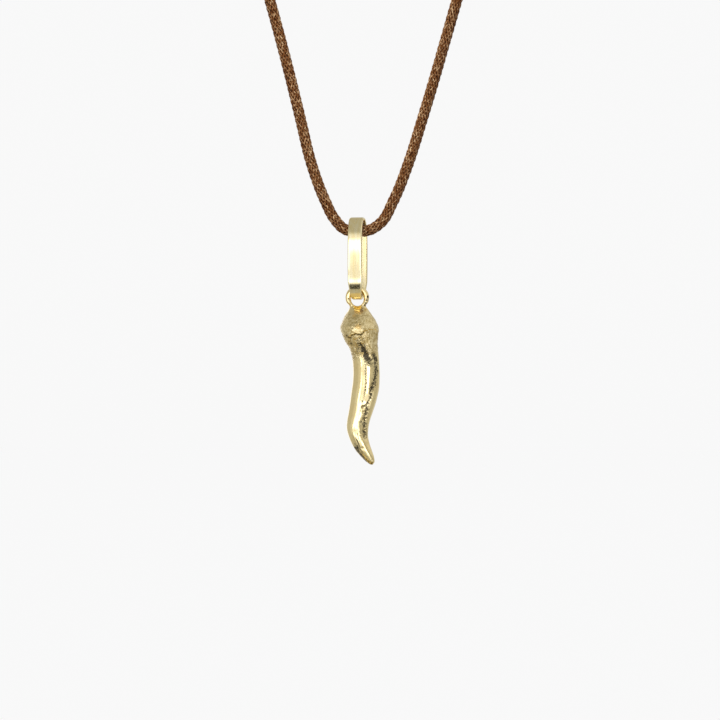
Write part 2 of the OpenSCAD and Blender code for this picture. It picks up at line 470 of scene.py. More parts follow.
def skin(name, rings, closed_round=False):
    """A closed mesh over rows of points, with a fan at each end unless the rows close up."""
    rings = np.asarray(rings, float)
    rows, around = rings.shape[:2]
    number = np.arange(rows * around).reshape(rows, around)
    lower = number if closed_round else number[:-1]
    upper = np.roll(number, -1, axis=0) if closed_round else number[1:]
    quads = np.stack(
        [lower, np.roll(lower, -1, axis=1), np.roll(upper, -1, axis=1), upper], axis=-1
    ).reshape(-1, 4)
    places = rings.reshape(-1, 3)
    faces = quads.tolist()
    if not closed_round:
        places = np.vstack([places, rings[0].mean(axis=0), rings[-1].mean(axis=0)])
        first, last = rows * around, rows * around + 1
        for j in range(around):
            k = (j + 1) % around
            faces.append([first, int(number[0, k]), int(number[0, j])])
            faces.append([last, int(number[-1, j]), int(number[-1, k])])
    mesh = bpy.data.meshes.new(name)
    mesh.from_pydata(places.tolist(), [], faces)
    mesh.polygons.foreach_set("use_smooth", [True] * len(mesh.polygons))
    mesh.update()
    return link(bpy.data.objects.new(name, mesh))


def gilt_satin():
    finish = Finish("gilt_satin")
    place = finish.place()
    rings = finish.cloud(finish.stretched(place, (14000, 500, 500)), 1.0, 2.0)
    soft = finish.cloud(place, 700, 3.0)
    return finish.wear(
        Base_Color=finish.mixed(finish.between(soft, 0.35, 0.7), *CLASP_GOLD),
        Metallic=1.0,
        Roughness=finish.between(soft, 0.3, 0.7, 0.22, 0.34),
        Normal=finish.bump(rings, 0.12, 0.00003),
    )


clasp_profile = [(-along, reach) for along, reach in reversed(CLASP_HALF)] + CLASP_HALF
clasp_turns = [math.tau * j / CLASP_STEPS for j in range(CLASP_STEPS)]
clasp_rings = [
    [(x, reach * math.cos(turn), CLASP_MIDDLE + reach * math.sin(turn)) for turn in clasp_turns]
    for x, reach in clasp_profile
]
clasp = skin("clasp_barrel", clasp_rings)
clasp.data.materials.append(gilt_satin())
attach(clasp, "necklace")
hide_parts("clasp")

# The bail
# A strip of pale yellow gold, 2.5 mm wide and half a millimetre thick, bent round into a long
# oval and soldered shut at its foot. Its edges are rounded over, its outer face is polished
# with fine drawn lines, and its inner face is left satin.
BAIL_GOLD = ((0.93, 0.755, 0.36), (0.97, 0.85, 0.50))
# The pendant hangs from the middle of the cord here, and the bail's depths and heights are
# measured from this point
HANGING_POINT = (-0.0015, 0.0, -0.161)
BAIL_TURN = math.radians(-13.5)
BAIL_DEEP = 0.0021
BAIL_THICK = 0.0005
BAIL_TOP = 0.0024
BAIL_FOOT = -0.01178
BAIL_SQUARE = 2.8
BAIL_HALF_WIDE = 0.00125
BAIL_FOOT_HALF = 0.00084
BAIL_TAPER = 0.003
BAIL_KNEE = 0.42
BAIL_SHOULDER = (0.0002, 0.0001)
BAIL_EDGE = 0.0002
BAIL_CROWN = 0.0001
BAIL_STEPS = 300
OVAL_STEPS = 7200
FACE_POINTS = 9
EDGE_POINTS = 7
CROWN_POINTS = 13
# The rear leg's twist, the depth over which it sets in, and how far aside it turns about
BAIL_TWIST = math.radians(12)
TWIST_DEPTH = (0.0010, 0.0018)
TWIST_SIDE = 0.0009
# Where the cord has worn the front leg's inner face: how deep, and the heights, depths to the
# front and distances to the left over which it sets in
BAIL_WORN = 0.00018
WORN_HEIGHT = (-0.0016, -0.0006)
WORN_DEPTH = (0.0008, 0.0014)
WORN_SIDE = (0.0002, 0.0010)


def step_up(value, low, high):
    t = np.clip((value - low) / (high - low), 0, 1)
    return t * t * (3 - 2 * t)


def mark(thing, name, values):
    attribute = thing.data.attributes.new(name, "FLOAT", "POINT")
    attribute.data.foreach_set("value", np.asarray(values, np.float32).ravel())


def bail_half_wide(z):
    """Half the strip's width at one height: it draws in towards the ring."""
    knee = BAIL_FOOT_HALF + (BAIL_HALF_WIDE - BAIL_FOOT_HALF) * BAIL_KNEE
    fall, draw_in = BAIL_SHOULDER
    stations = [
        (BAIL_FOOT, BAIL_FOOT_HALF), (BAIL_FOOT + BAIL_TAPER / 3, knee),
        (BAIL_FOOT + BAIL_TAPER, BAIL_HALF_WIDE), (BAIL_TOP - fall, BAIL_HALF_WIDE),
        (BAIL_TOP, BAIL_HALF_WIDE - draw_in),
    ]
    return float(np.interp(z, *zip(*stations)))


def bail_loop():
    """Even stations round the long oval: the outer point and the way out, by depth and height."""
    turn = np.linspace(0, math.tau, OVAL_STEPS + 1)
    across, up = np.cos(turn), np.sin(turn)
    depth = BAIL_DEEP * np.sign(across) * np.abs(across) ** (2 / BAIL_SQUARE)
    height = (BAIL_TOP - BAIL_FOOT) / 2 * np.sign(up) * np.abs(up) ** (2 / BAIL_SQUARE)
    height += (BAIL_TOP + BAIL_FOOT) / 2
    walked = np.append(0, np.cumsum(np.hypot(np.diff(depth), np.diff(height))))
    even = np.linspace(0, walked[-1], BAIL_STEPS + 1)[:-1]
    loop = np.stack([np.interp(even, walked, depth), np.interp(even, walked, height)], axis=-1)
    run = np.roll(loop, -1, axis=0) - np.roll(loop, 1, axis=0)
    run /= np.linalg.norm(run, axis=-1, keepdims=True)
    return loop, np.stack([run[:, 1], -run[:, 0]], axis=-1)


def strip_section(half):
    """The strip's rounded section from its outer face round, by side and by depth below it."""
    flat = half - BAIL_EDGE
    inner = BAIL_THICK - BAIL_EDGE

    def corner(middle, deep, start):
        turns = np.radians(np.linspace(start, start - 90, EDGE_POINTS)[1:])
        return [
            (middle + BAIL_EDGE * math.cos(turn), deep - BAIL_EDGE * math.sin(turn))
            for turn in turns
        ]

    face = [(side * flat, 0.0) for side in np.linspace(-1, 1, FACE_POINTS)]
    crown = [
        (side * flat, BAIL_THICK + BAIL_CROWN * (1 - side * side))
        for side in np.linspace(1, -1, CROWN_POINTS)[1:]
    ]
    section = face + corner(flat, BAIL_EDGE, 90) + corner(flat, inner, 0) + crown
    section += corner(-flat, inner, 270) + corner(-flat, BAIL_EDGE, 180)
    return section[:-1]


def bent_strip():
    """Sections round the loop, whose rear leg stands a little twisted, and how far inside each is."""
    loop, ways_out = bail_loop()
    rings, inside = [], []
    cos_turn, sin_turn = math.cos(BAIL_TURN), math.sin(BAIL_TURN)
    for point, out in zip(loop, ways_out):
        section = strip_section(bail_half_wide(float(point[1])))
        twist = math.sin(BAIL_TWIST) * float(step_up(point[0], *TWIST_DEPTH))
        worn = BAIL_WORN * float(step_up(-point[0], *WORN_DEPTH) * step_up(point[1], *WORN_HEIGHT))
        ring = []
        for side, deep in section:
            share = np.clip((deep - BAIL_EDGE) / (BAIL_THICK - BAIL_EDGE), 0, 1)
            y, z = point - out * (deep - worn * share * float(step_up(-side, *WORN_SIDE)))
            y += (side + TWIST_SIDE) * twist
            ring.append((
                HANGING_POINT[0] + side * cos_turn - y * sin_turn,
                HANGING_POINT[1] + side * sin_turn + y * cos_turn,
                HANGING_POINT[2] + z,
            ))
        rings.append(ring)
        inside.append([float(deep > BAIL_THICK * 0.98) for side, deep in section])
    return rings, inside


def polished_gold():
    finish = Finish("polished_gold")
    place = finish.place()
    inside = finish.marked("inside")
    drawn = finish.cloud(finish.stretched(place, (9000, 9000, 160)), 1.0, 2.0)
    streaks = finish.cloud(finish.stretched(place, (2600, 2600, 110)), 1.0, 3.0, 0.6)
    pale = finish.between(streaks, 0.36, 0.64)
    return finish.wear(
        Base_Color=finish.mixed(pale, *BAIL_GOLD),
        Metallic=1.0,
        Roughness=finish.between(drawn, 0.3, 0.7, 0.08, 0.15) + inside * 0.2,
        Normal=finish.bump(drawn, 0.08, 0.00002),
    )


bail_rings, bail_inside = bent_strip()
bail = skin("bail_strip", bail_rings, closed_round=True)
mark(bail, "inside", bail_inside)
bail.data.materials.append(polished_gold())
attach(bail, "bail")
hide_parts("bail")

# The horn with its ring
# One lost-wax casting in pale yellow gold. The ring grows out of a satin domed head, whose
# broken rim stands over a nuggeted neck, and the polished horn below keeps its casting folds.
HORN_GOLD = ((0.95, 0.785, 0.40), (0.91, 0.71, 0.33))
HORN_MATT = ((0.50, 0.36, 0.125), (1.0, 0.83, 0.45))
HORN_COPPER = (0.88, 0.60, 0.22)
# The dark painted into the casting's marks: painted shade in its creases, folds and pits and under its
# rim, and painted dark reflections
HORN_PAINTED_SHADE = (0.052, 0.043, 0.026)
# How far below the hanging point the ring's centre is, in metres. All that follows is in
# millimetres from that centre
RING_DROP = 0.0114
RING_HALF = 2.03
RING_HOLE = (1.10, 1.28)
RING_SINK = 0.16
RING_DEEP = 0.84
RING_AROUND = 144
WIRE_AROUND = 36
# Painted dark reflections on the front of the ring: side, drop, reach
RING_SPOTS = [
    (1.76, -0.1, 0.24), (1.62, 0.45, 0.2), (1.5, 0.95, 0.14), (1.3, 1.3, 0.18), (1.72, 1.15, 0.16),
    (-1.5, 0.22, 0.15),
]
RING_SPOT_DARK = 1.35
# Where ring and head are melted together: how far from the centre that sets in and ends, how
# far below it that sets in, and how often the skin is smoothed there
MELT_FROM = (1.5, 1.85)
MELT_TO = (2.5, 3.0)
MELT_BELOW = (0.9, 1.4)
MELT_PASSES = 120
# Level sections: drop, side, back, wide, deep
HORN_SECTIONS = [
    (1.50, 0.15, 0.00, 2.40, 0.50), (1.70, 0.18, 0.00, 2.94, 1.30),
    (2.10, 0.22, 0.00, 3.40, 2.30), (3.00, 0.22, 0.00, 4.62, 3.90),
    (4.10, 0.33, 0.00, 5.84, 5.36), (5.30, 0.37, 0.00, 6.62, 6.20),
    (6.50, 0.53, 0.02, 6.26, 6.00), (7.80, 0.79, 0.06, 5.54, 5.40),
    (8.90, 1.15, 0.10, 4.90, 4.90), (10.0, 1.36, 0.15, 4.64, 4.62),
    (11.2, 1.48, 0.19, 4.57, 4.50), (13.2, 1.56, 0.22, 4.59, 4.40),
    (14.6, 1.50, 0.22, 4.64, 4.33), (15.9, 1.36, 0.20, 4.70, 4.19),
    (17.2, 1.14, 0.16, 4.58, 4.00), (18.5, 0.88, 0.10, 4.40, 3.80),
    (19.8, 0.55, 0.03, 4.16, 3.62), (21.1, 0.21, -0.05, 3.96, 3.43),
    (22.5, 0.04, -0.14, 3.74, 3.21), (23.8, 0.17, -0.24, 3.36, 2.95),
    (25.1, 0.56, -0.33, 3.10, 2.58), (26.4, 1.16, -0.40, 2.76, 2.16),
    (27.6, 1.88, -0.42, 2.06, 1.60), (28.3, 2.28, -0.42, 1.34, 1.14),
    (28.65, 2.42, -0.42, 0.60, 0.52),
]
HORN_ROW_STEP = 0.075
HORN_AROUND = 208
# The rounded end of the tip: how wide and how far below the last section each row is
TIP_ROWS = ((0.8, 0.05), (0.45, 0.085))
# Broad dents: drop, turn from +X in degrees, reach down, reach round in degrees, depth
HORN_DENTS = [
    (11.5, -42, 1.8, 14, 0.16), (14.5, -58, 1.8, 12, 0.18), (17.9, -75, 0.7, 24, 0.05),
    (20.6, -66, 1.5, 14, 0.10), (23.2, -55, 1.4, 14, 0.08), (26.0, -150, 1.6, 28, 0.16),
]
# Folds on the front: half width, depth, how wide and how dark the painted shade along them is, and the
# line of side and drop that each follows. Along the flat at the tip the dark is a painted dark
# reflection
HORN_FOLDS = [
    (0.20, 0.10, 0.40, 1.0, [
        (2.72, 9.6), (3.05, 10.5), (3.27, 12.0), (3.27, 12.7), (3.04, 13.6),
    ]),
    (0.18, 0.05, 0.44, 1.0, [(3.0, 14.0), (2.88, 14.6), (2.62, 15.2), (2.36, 15.9)]),
    (0.16, 0.07, 0.28, 1.0, [
        (2.36, 15.9), (2.18, 16.3), (2.45, 16.75), (2.3, 17.3), (2.12, 17.7), (1.57, 18.37),
        (0.83, 18.85),
    ]),
    (0.45, 0.12, 0.55, 1.5, [(1.0, 9.0), (1.5, 9.87), (1.78, 10.6)]),
    (0.45, 0.05, 0.90, 0.85, [(0.5, 8.2), (1.0, 9.0), (1.5, 9.87), (1.8, 10.7), (2.1, 11.1)]),
    (0.14, 0.10, 0.26, 0.85, [(0.3, 8.1), (0.85, 8.8)]),
    (0.18, 0.08, 0.36, 0.62, [(1.8, 10.9), (2.4, 11.0), (2.9, 10.4)]),
    (0.26, 0.05, 0.42, 0.85, [
        (1.7, 18.6), (1.45, 20.0), (1.25, 21.4), (1.2, 22.8), (1.35, 23.9),
    ]),
    (0.05, 0.03, 0.13, 0.92, [(1.4, 11.5), (1.42, 13.4), (1.44, 16.1)]),
    (0.14, 0.04, 0.20, 0.5, [(0.52, 23.65), (1.2, 23.7)]),
    (0.26, 0.05, 0.56, 0.92, [
        (-0.25, 25.7), (0.3, 26.7), (0.97, 27.55), (1.68, 28.2), (2.3, 28.6),
    ]),
]
# Pits on the front, and beads where the depth is below nought: side, drop, reach and depth
HORN_PITS = [
    (0.12, 4.28, 0.20, -0.07), (1.15, 20.9, 0.34, 0.13), (0.70, 21.4, 0.26, 0.11),
    (1.20, 22.9, 0.38, 0.14), (0.91, 18.85, 0.22, 0.11), (0.92, 25.9, 0.22, 0.08),
    (0.50, 8.1, 0.24, 0.11), (-1.2, 8.0, 0.24, 0.12), (-1.8, 6.6, 0.30, 0.10),
    (1.22, 23.9, 0.30, 0.12), (-0.85, 5.6, 0.26, -0.10), (1.1, 5.6, 0.24, -0.08),
    (-0.1, 6.45, 0.24, 0.14), (-0.2, 8.5, 0.2, 0.09), (0.7, 6.3, 0.16, 0.10),
    (0.95, 19.7, 0.16, 0.09), (-0.12, 4.15, 0.13, 0.11), (0.42, 4.6, 0.15, 0.11),
    (-0.6, 7.4, 0.18, 0.07), (0.9, 7.5, 0.2, 0.07), (-1.5, 7.3, 0.2, 0.08), (0.3, 7.1, 0.2, 0.08),
    (-0.9, 8.9, 0.16, 0.07), (1.3, 8.3, 0.3, 0.07),
]
# Coppery stains on the dome: side, drop, reach each way
HORN_STAINS = [
    (0.2, 2.5, 0.85, 0.42), (0.1, 5.0, 0.6, 0.45), (1.45, 2.0, 0.4, 0.35), (-0.6, 3.1, 0.3, 0.3),
]
# The head's broken rim on the front, as side and drop
HORN_RIM = [
    (-3.4, 5.9), (-2.4, 6.5), (-1.9, 6.8), (-1.3, 6.7), (-1.03, 6.37), (-0.52, 6.16), (-0.07, 6.37),
    (0.36, 6.28), (0.81, 6.19), (1.07, 5.85), (1.5, 5.62), (2.4, 5.35), (3.4, 5.5),
]
# The rim's drop on the back, how it steps down to the neck, how deep the neck is cut under it
# and over what drops that fades, and the bead along it: how far up, reach, height
RIM_BACK = 5.9
RIM_STEP = (-0.02, 0.12)
NECK_DEEP = 0.22
NECK_FADES = (0.2, 4.6)
RIM_BEAD = (0.12, 0.22, 0.06)
# Random lumps on the skin: their size, their seed, and their height or the share that frays
# an edge
SKIN_WAVE = (2.2, 1, 0.014)
HEAD_GRAIN = (0.4, 8, 0.03)
RIM_TEETH = (0.42, 7, 0.26)
EDGE_FRAY = (0.5, 6, 0.09)
RAGGED = (0.55, 3, 0.15)
# Nuggets on the neck: their size, seed and height, and the level that is neither high nor low
NUGGETS = (0.75, 4, 0.13, 0.35)
SMALL_NUGGETS = (0.33, 5, 0.09, 0.3)
# Drops at which each surface comes and goes
WAVE_FROM = (2.6, 4.0)
GRAIN_FROM = (2.4, 3.4)
GRAIN_TO = (6.0, 7.0)
MATT_FROM = (2.1, 3.1)
NUGGETS_TO = (9.6, 11.2)
PITTED_FROM = (18.4, 19.2)
PITTED_TO = (24.0, 25.4)
# From these drops on the tip, the painted shade of the folds reaches out to the outline
SHADE_SPREAD_FROM = (25.5, 26.5)
# The front swells at one drop, with its reach above and below, and is pressed in beside it
SWELL_AT = 23.3
SWELL_REACH = (2.1, 3.5)
SWELL_HIGH = 0.085
PRESSED_DEEP = 0.04
PRESSED_SIDE = (0.2, 0.6)
PRESSED_FROM = (18.8, 20.0)
PRESSED_TO = (23.6, 25.0)


def distance_to(side, drop, line):
    """How far each point of the skin is from a line on the front."""
    nearest = np.full(side.shape, 99.0)
    for (ax, ay), (bx, by) in zip(line, line[1:]):
        run = (bx - ax) ** 2 + (by - ay) ** 2
        t = np.clip(((side - ax) * (bx - ax) + (drop - ay) * (by - ay)) / run, 0, 1)
        nearest = np.minimum(nearest, np.hypot(side - ax - t * (bx - ax), drop - ay - t * (by - ay)))
    return nearest


def rough(places, size, seed):
    """Soft random values from -1 to 1 with that size of lump, in millimetres."""
    flat = places.reshape(-1, 3) / size + seed * 17.3
    values = [noise.fractal(tuple(point), 1.0, 2.0, 3) for point in flat.tolist()]
    return np.array(values).reshape(places.shape[:-1])


def lumpy(places, lumps):
    size, seed, high = lumps
    return high * rough(places, size, seed)


def nuggets(places, size, seed):
    """Rounded lumps that meet in sharp creases, from nought in a crease."""
    values = []
    for point in (places.reshape(-1, 3) / size + seed * 9.7).tolist():
        near = noise.voronoi(tuple(point))[0]
        values.append(min(near[1] - near[0], 0.6))
    return np.array(values).reshape(places.shape[:-1])


def horn_body():
    """Rows of points over the dented horn, and the way out of its skin at each."""
    pieces = [
        max(2, math.ceil(abs(b[0] - a[0]) / HORN_ROW_STEP))
        for a, b in zip(HORN_SECTIONS, HORN_SECTIONS[1:])
    ]
    rows = smooth_line(HORN_SECTIONS, None, None, pieces)
    turn = np.radians(np.arange(HORN_AROUND) * 360 / HORN_AROUND)
    drop = rows[:, 0][:, None] + 0 * turn[None, :]
    dents = np.zeros_like(drop)
    for where, about, reach, spread, depth in HORN_DENTS:
        away = np.abs((np.degrees(turn) - about + 540) % 360 - 180)[None, :]
        dents += depth * np.exp(-(((drop - where) / reach) ** 2) - (away / spread) ** 2)
    side = rows[:, 1][:, None] + (rows[:, 3][:, None] / 2 - dents) * np.cos(turn)
    back = rows[:, 2][:, None] + (rows[:, 4][:, None] / 2 - dents) * np.sin(turn)
    places = np.stack([side, back, -drop], axis=-1)

    along = np.gradient(places, axis=0)
    round_it = np.roll(places, -1, axis=1) - np.roll(places, 1, axis=1)
    out = np.cross(along, round_it)
    out /= np.linalg.norm(out, axis=-1, keepdims=True) + 1e-12
    centre = np.stack([rows[:, 1], rows[:, 2], -rows[:, 0]], axis=-1)[:, None, :]
    out *= np.sign(np.sum(out * (places - centre), axis=-1, keepdims=True) + 1e-9)
    return places, out


def rim_drop(places, front, ragged):
    """How far down the head's broken rim is, all the way round."""
    rim_front = np.interp(places[..., 0], *zip(*HORN_RIM))
    rim = front * rim_front + (1 - front) * RIM_BACK + RAGGED[2] * ragged
    return rim + lumpy(places, RIM_TEETH)


def neck_nuggets(places, below, ragged, small):
    """The neck's nuggets: their relief, where they are, and the painted shade in the creases between
    them.
    """
    side, drop = places[..., 0], -places[..., 2]
    size, seed, high, level = NUGGETS
    small_high, small_level = SMALL_NUGGETS[2:]
    lumps = nuggets(places, size, seed)
    zone = below * (1 - step_up(drop + 0.7 * ragged + 0.35 * side, *NUGGETS_TO))
    # The right of the front is nearly smooth
    calm = 1 - 0.8 * step_up(side, 1.2, 1.8) * step_up(-places[..., 1], 0.0, 0.6)
    relief = zone * calm * (high * (lumps - level) + small_high * (small - small_level))
    # The creases between the nuggets are painted dark: painted shade
    creases = zone * calm * (1 - step_up(lumps, 0.0, 0.10)) * step_up(ragged, -0.2, 0.4)
    return relief, zone, creases


def horn_skin():
    """Rows of points over the cast horn in millimetres from the ring's centre, and its marks."""
    places, out = horn_body()
    side, drop = places[..., 0], -places[..., 2]
    front = np.clip(-out[..., 1] * 1.6, 0, 1)
    ragged = rough(places, *RAGGED[:2])

    height = lumpy(places, SKIN_WAVE) * step_up(drop, *WAVE_FROM)
    grain = lumpy(places, HEAD_GRAIN) * step_up(drop, *GRAIN_FROM)
    height += grain * (1 - step_up(drop, *GRAIN_TO))
    swell = np.where(drop < SWELL_AT, *SWELL_REACH)
    height += SWELL_HIGH * np.exp(-(((drop - SWELL_AT) / swell) ** 2)) * front
    pressed = PRESSED_DEEP * step_up(side, *PRESSED_SIDE) * step_up(drop, *PRESSED_FROM)
    height -= pressed * (1 - step_up(drop, *PRESSED_TO)) * front

    rim = rim_drop(places, front, ragged)
    below = step_up(drop, rim + RIM_STEP[0], rim + RIM_STEP[1])
    undercut = below * (1 - step_up(drop, rim + NECK_FADES[0], rim + NECK_FADES[1]))
    facing = 0.15 + 0.85 * step_up(front, 0.55, 0.95)
    bead_up, bead_reach, bead_high = RIM_BEAD
    height -= NECK_DEEP * undercut * facing
    height += bead_high * np.exp(-(((drop - rim + bead_up) / bead_reach) ** 2)) * facing

    small = nuggets(places, *SMALL_NUGGETS[:2])
    relief, nugget_zone, creases = neck_nuggets(places, below, ragged, small)
    height += relief
    # A painted shadow runs along under the broken rim, and with the painted shade in the creases it
    # starts the dark mark
    under_rim = np.exp(-(((drop - rim - 0.2) / 0.22) ** 2)) * step_up(front, 0.6, 0.9)
    under_rim = under_rim * step_up(ragged, -0.45, 0.05) * (1 - step_up(side, 1.5, 1.9))
    painted_shade = np.maximum(0.75 * creases, under_rim * 1.1)

    frayed_side = side + EDGE_FRAY[2] * ragged
    frayed_drop = drop + lumpy(places, EDGE_FRAY)
    # The folds are painted dark along their lines: painted shade, and on the flat at the tip a painted
    # dark reflection
    shade_spread = np.clip(front * (1 + 3 * step_up(drop, *SHADE_SPREAD_FROM)), 0, 1)
    for half, depth, shade_reach, dark, line in HORN_FOLDS:
        near = distance_to(frayed_side, frayed_drop, line)
        height -= depth * np.exp(-((near / half) ** 2)) * front
        painted_shade = np.maximum(painted_shade, np.exp(-((near / shade_reach) ** 2)) * shade_spread * dark)
    # Pits are painted dark inside as painted shade; beads are not
    for where, deep_at, reach, depth in HORN_PITS:
        near = np.hypot(frayed_side - where, frayed_drop - deep_at)
        share = np.exp(-((near / reach) ** 2)) * front
        height -= depth * share
        painted_shade = np.maximum(painted_shade, share * np.clip(depth * 8, 0, 1))

    # A pitted, matt band runs down the right of the lower front
    pitted = np.exp(-(((frayed_side - 1.0) / 0.40) ** 2)) * step_up(drop, *PITTED_FROM)
    pitted = pitted * (1 - step_up(drop, *PITTED_TO)) * front
    height += pitted * 0.035 * (small - 0.25)
    matt = np.maximum(0.75 * (1 - below) * step_up(drop, *MATT_FROM), nugget_zone)
    matt = np.maximum(matt, 0.5 * pitted)
    stain = np.zeros_like(drop)
    for where, deep_at, reach, reach_down in HORN_STAINS:
        near = np.hypot((frayed_side - where) / reach, (frayed_drop - deep_at) / reach_down)
        stain = np.maximum(stain, np.exp(-(near**2)) * front)
    places = places + out * height[..., None]
    return places, {"painted_shade": painted_shade, "matt": matt, "stain": stain}


def ring_rings():
    """Rows of points round the ring's wire, in millimetres from the ring's centre."""
    half_wide, half_tall = RING_HOLE
    rings = []
    for i in range(RING_AROUND):
        turn = math.tau * i / RING_AROUND
        across, up = math.cos(turn), math.sin(turn)
        outer = np.array([RING_HALF * across, 0, RING_HALF * up])
        inner = np.array([half_wide * across, 0, half_tall * up - RING_SINK])
        middle, reach = (outer + inner) / 2, (outer - inner) / 2
        ring = []
        for j in range(WIRE_AROUND):
            lean = math.tau * j / WIRE_AROUND
            back = np.array([0, RING_DEEP / 2 * math.sin(lean), 0])
            ring.append(middle + reach * math.cos(lean) + back)
        rings.append(ring)
    return np.array(rings)


def cast_gold():
    finish = Finish("cast_gold")
    place = finish.place()
    painted_shade = finish.marked("painted_shade")
    matt = finish.marked("matt")
    stain = finish.marked("stain")
    soft = finish.cloud(place, 380, 3.0)
    blotch = finish.cloud(place, 1300, 4.0, 0.62)
    grain = finish.cloud(place, 5200, 3.0, 0.65)
    brush = finish.cloud(finish.stretched(place, (7000, 7000, 900)), 1.0, 2.0)
    gold = finish.mixed(finish.between(soft, 0.35, 0.7), *HORN_GOLD)
    fleck = finish.cloud(place, 2600, 3.0, 0.7)
    mottle = finish.between(blotch * 0.5 + fleck * 0.5, 0.40, 0.60)
    mottled = finish.mixed(mottle, *HORN_MATT)
    dull = finish.mixed(matt, gold, mottled)
    coppery = finish.between(stain + (fleck - 0.5) * 1.2, 0.2, 0.75)
    stained = finish.mixed(coppery, dull, HORN_COPPER)
    # The marks are painted dark with painted shade and painted dark reflections, broken up by flecks
    broken = finish.between(painted_shade + (fleck - 0.5) * 2.6 + (grain - 0.5) * 1.2, 0.38, 0.95)
    dark = finish.mixed(broken * 0.96, stained, HORN_PAINTED_SHADE)
    roughness = 0.125 + matt * 0.15 + broken * 0.2
    texture = finish.bump(grain * 0.4 + brush * 1.2 + blotch + fleck * 0.6, matt, 0.00006)
    return finish.wear(
        Base_Color=dark,
        Metallic=1.0,
        Roughness=roughness,
        Normal=finish.bump(soft, 0.05, 0.0001, texture),
    )


def settled(places):
    """Millimetres from the ring's centre as metres in the shared frame."""
    x, y, z = HANGING_POINT
    return places * 0.001 + np.array([x, y, z - RING_DROP])


horn_places, horn_marks = horn_skin()
tip = horn_places[-1].mean(axis=0)
cap = [tip + (horn_places[-1] - tip) * share + [0, 0, -sink] for share, sink in TIP_ROWS]
horn_places = np.concatenate([horn_places, np.array(cap)])
horn = skin("horn_casting", settled(horn_places))
ring = skin("ring_wire", settled(ring_rings()), closed_round=True)
# The tip's rounded end is marked like the last section, and the middles of both ends are bare
for name, values in horn_marks.items():
    marked_rows = np.vstack([values] + [values[-1:]] * len(TIP_ROWS))
    mark(horn, name, np.append(marked_rows.ravel(), [0, 0]))
    mark(ring, name, np.zeros(len(ring.data.vertices)))


def joined(first, second):
    """One closed skin over both, where they run into each other."""
    join = first.modifiers.new("join", "BOOLEAN")
    join.operation = "UNION"
    join.solver = "EXACT"
    join.object = second
    evaluated = first.evaluated_get(bpy.context.evaluated_depsgraph_get())
    mesh = bpy.data.meshes.new_from_object(evaluated)
    first.modifiers.clear()
    first.data = mesh
    bpy.data.objects.remove(second)


def placed(thing):
    places = np.empty(len(thing.data.vertices) * 3)
    thing.data.vertices.foreach_get("co", places)
    return places.reshape(-1, 3)


def melted(thing):
    """Rounds the corner between ring and head, as the wax was melted together there."""
    places = placed(thing)
    ends = np.empty(len(thing.data.edges) * 2, int)
    thing.data.edges.foreach_get("vertices", ends)
    first, last = ends.reshape(-1, 2).T
    local = (places - settled(np.zeros(3))) * 1000
    reach = np.hypot(local[:, 0], local[:, 2])
    share = step_up(reach, *MELT_FROM) * (1 - step_up(reach, *MELT_TO))
    share *= step_up(-local[:, 2], *MELT_BELOW)
    count = np.bincount(first, minlength=len(places)) + np.bincount(last, minlength=len(places))
    for _ in range(MELT_PASSES):
        total = np.zeros_like(places)
        np.add.at(total, first, places[last])
        np.add.at(total, last, places[first])
        places += 0.5 * share[:, None] * (total / count[:, None] - places)
    thing.data.vertices.foreach_set("co", places.ravel())
    thing.data.update()


def spotted(thing):
    """Puts the ring's dark spots, painted dark reflections, into the casting's mark of painted shade.
    """
    local = (placed(thing) - settled(np.zeros(3))) * 1000
    painted_shade = np.empty(len(local))
    marks = thing.data.attributes["painted_shade"].data
    marks.foreach_get("value", painted_shade)
    for side, drop, reach in RING_SPOTS:
        away = np.hypot(local[:, 0] - side, local[:, 2] + drop)
        spot = RING_SPOT_DARK * np.exp(-((away / reach) ** 2)) * (local[:, 1] < 0.05)
        painted_shade = np.maximum(painted_shade, spot)
    marks.foreach_set("value", painted_shade.astype(np.float32))


joined(horn, ring)
melted(horn)
spotted(horn)
horn.data.materials.append(cast_gold())
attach(horn, "horn")
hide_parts("horn")

# The studio
# A pale floor and a pale tent round it glow evenly behind the charm. The polished metal
# doesn't mirror them, but the panes of the room further down.
PALE = (0.905, 0.905, 0.905)
WALL_GLOW = 1.045
WALL_DIFFUSE = 0.03
TENT_RADIUS = 5.0
TENT_ROWS = 40
TENT_AROUND = 64
FLOOR_DROP = -0.30
FLOOR_THICK = 0.01
FLOOR_RADIUS = TENT_RADIUS * 0.98


def pale_wall(name):
    finish = Finish(name)
    glow = finish.add("ShaderNodeEmission", inputs={"Color": (*PALE, 1), "Strength": WALL_GLOW})
    plain = finish.add("ShaderNodeBsdfDiffuse", inputs={"Color": (*PALE, 1)})
    both = finish.add("ShaderNodeMixShader", inputs={0: WALL_DIFFUSE, 1: glow, 2: plain})
    end = finish.tree.nodes["Material Output"]
    finish.tree.links.new(both.socket, end.inputs["Surface"])
    return finish.material


def level_ring(radius, height):
    turns = [math.tau * j / TENT_AROUND for j in range(TENT_AROUND)]
    return [(radius * math.cos(turn), radius * math.sin(turn), height) for turn in turns]


def tent_rings():
    """Level rings over a sphere whose foot is cut off just under the floor."""
    rings = []
    for row in range(1, TENT_ROWS):
        up = math.radians(180 * row / TENT_ROWS - 90)
        height = max(FLOOR_DROP - 2 * FLOOR_THICK, TENT_RADIUS * math.sin(up))
        rings.append(level_ring(TENT_RADIUS * math.cos(up), height))
    return rings


tent = skin("tent", tent_rings())
tent.data.materials.append(pale_wall("pale_tent"))
floor_heights = (FLOOR_DROP - FLOOR_THICK, FLOOR_DROP)
floor = skin("floor", [level_ring(FLOOR_RADIUS, height) for height in floor_heights])
floor.data.materials.append(pale_wall("pale_floor"))
for wall in (tent, floor):
    wall.visible_glossy = False

